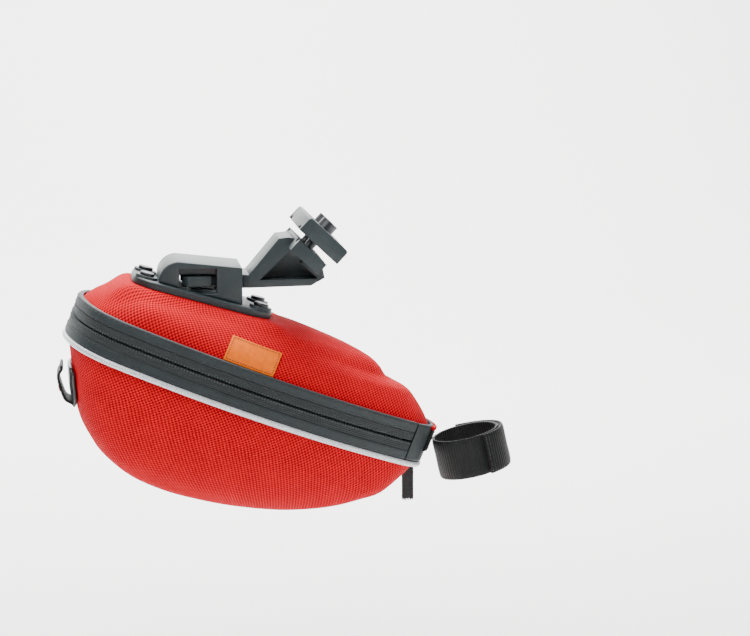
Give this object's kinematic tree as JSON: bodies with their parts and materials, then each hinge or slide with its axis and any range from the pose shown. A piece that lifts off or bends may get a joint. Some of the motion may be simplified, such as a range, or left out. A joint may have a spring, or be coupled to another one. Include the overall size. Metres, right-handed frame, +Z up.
{
  "type": "bicycle saddle bag",
  "caption": "Hard-shell saddle bag that opens on a zip, with a quick-release bracket for saddle rails and a strap for the seatpost.",
  "frame": {"origin": "midway between the two saddle rails at the clamp", "axes": "+X forward on the bicycle, +Y left, +Z up"},
  "size_m": [0.2233, 0.1008, 0.1489],
  "materials": {
    "nylon_black": "glass-filled nylon, moulded",
    "shell_red": "woven polyester over moulded EVA foam",
    "binding_black": "coated stretch fabric",
    "tape_black": "ribbed zip tape",
    "coil_black": "nylon coil",
    "piping_grey": "reflective piping",
    "lining_grey": "knitted lining",
    "label_orange": "woven label",
    "webbing_black": "ribbed webbing",
    "hook_black": "hook-and-loop tape",
    "steel_black": "black zinc-plated steel",
    "zip_metal": "black enamelled zinc casting",
    "ribbon_black": "grosgrain ribbon"
  },
  "bodies": {
    "bracket": {"bracket_arm": "nylon_black", "clamp_nuts": "steel_black"},
    "clamp": {"clamp_plate": "nylon_black", "clamp_bolts": "steel_black"},
    "prong_left": {"prong_left": "nylon_black"},
    "prong_right": {"prong_right": "nylon_black"},
    "bag_upper": {"mount_plate": "nylon_black", "receiver": "nylon_black", "plate_screws": "steel_black", "backing_plate": "nylon_black", "upper_shell": "shell_red", "upper_lining": "lining_grey", "upper_binding": "binding_black", "upper_zip_tape": "tape_black", "upper_zip_coil": "coil_black", "hinge_fabric": "binding_black", "label": "label_orange", "front_anchor": "webbing_black", "post_strap": "webbing_black", "strap_hook_tape": "hook_black"},
    "bag_lower": {"lower_shell": "shell_red", "lower_lining": "lining_grey", "lower_binding": "binding_black", "lower_zip_tape": "tape_black", "lower_zip_coil": "coil_black", "piping": "piping_grey", "light_loop_patch": "webbing_black", "light_loop": "webbing_black"},
    "slider": {"zip_slider": "zip_metal"},
    "puller": {"pull_tab": "zip_metal"},
    "ribbon": {"pull_ribbon": "ribbon_black"}
  },
  "joints": [
    {"name": "clamp_lift", "type": "slide", "parent": "bracket", "child": "clamp", "axis": [0.6871, 0, 0.7266], "range_m": [0, 0.004]},
    {"name": "prong_left_squeeze", "type": "hinge", "parent": "bracket", "child": "prong_left", "pos_m": [-0.0366, 0.0092, 0], "axis": [0, 0, 1], "range_deg": [0, 9], "stiffness_Nm_per_rad": 1.4},
    {"name": "prong_right_squeeze", "type": "hinge", "parent": "bracket", "child": "prong_right", "pos_m": [-0.0366, -0.0092, 0], "axis": [0, 0, 1], "range_deg": [-9, 0], "stiffness_Nm_per_rad": 1.4},
    {"name": "release_slide", "type": "slide", "parent": "bracket", "child": "bag_upper", "axis": [-1, 0, 0], "range_m": [0, 0.04], "deforming": ["prong_left", "prong_right"]},
    {"name": "lid_hinge", "type": "hinge", "parent": "bag_upper", "child": "bag_lower", "pos_m": [0.05376, 0, -0.10829], "axis": [0, -1, 0], "range_deg": [0, 60], "deforming": ["hinge_fabric"]},
    {"name": "zip_run", "type": "hinge", "parent": "bag_upper", "child": "slider", "pos_m": [-0.04958, -0.14628, -0.05683], "axis": [0.3665, 0, 0.9304], "range_deg": [0, 40.3]},
    {"name": "puller_swing", "type": "hinge", "parent": "slider", "child": "puller", "pos_m": [0.04467, 0.02624, -0.09396], "axis": [0.3665, 0, 0.9304], "range_deg": [-20, 120]},
    {"name": "ribbon_swing", "type": "hinge", "parent": "puller", "child": "ribbon", "pos_m": [0.05146, 0.02624, -0.09964], "axis": [0.9304, 0, -0.3665], "range_deg": [-5, 45]}
  ],
  "couplings": [
    {"joint": "prong_right_squeeze", "follows": "prong_left_squeeze", "ratio": -1}
  ]
}
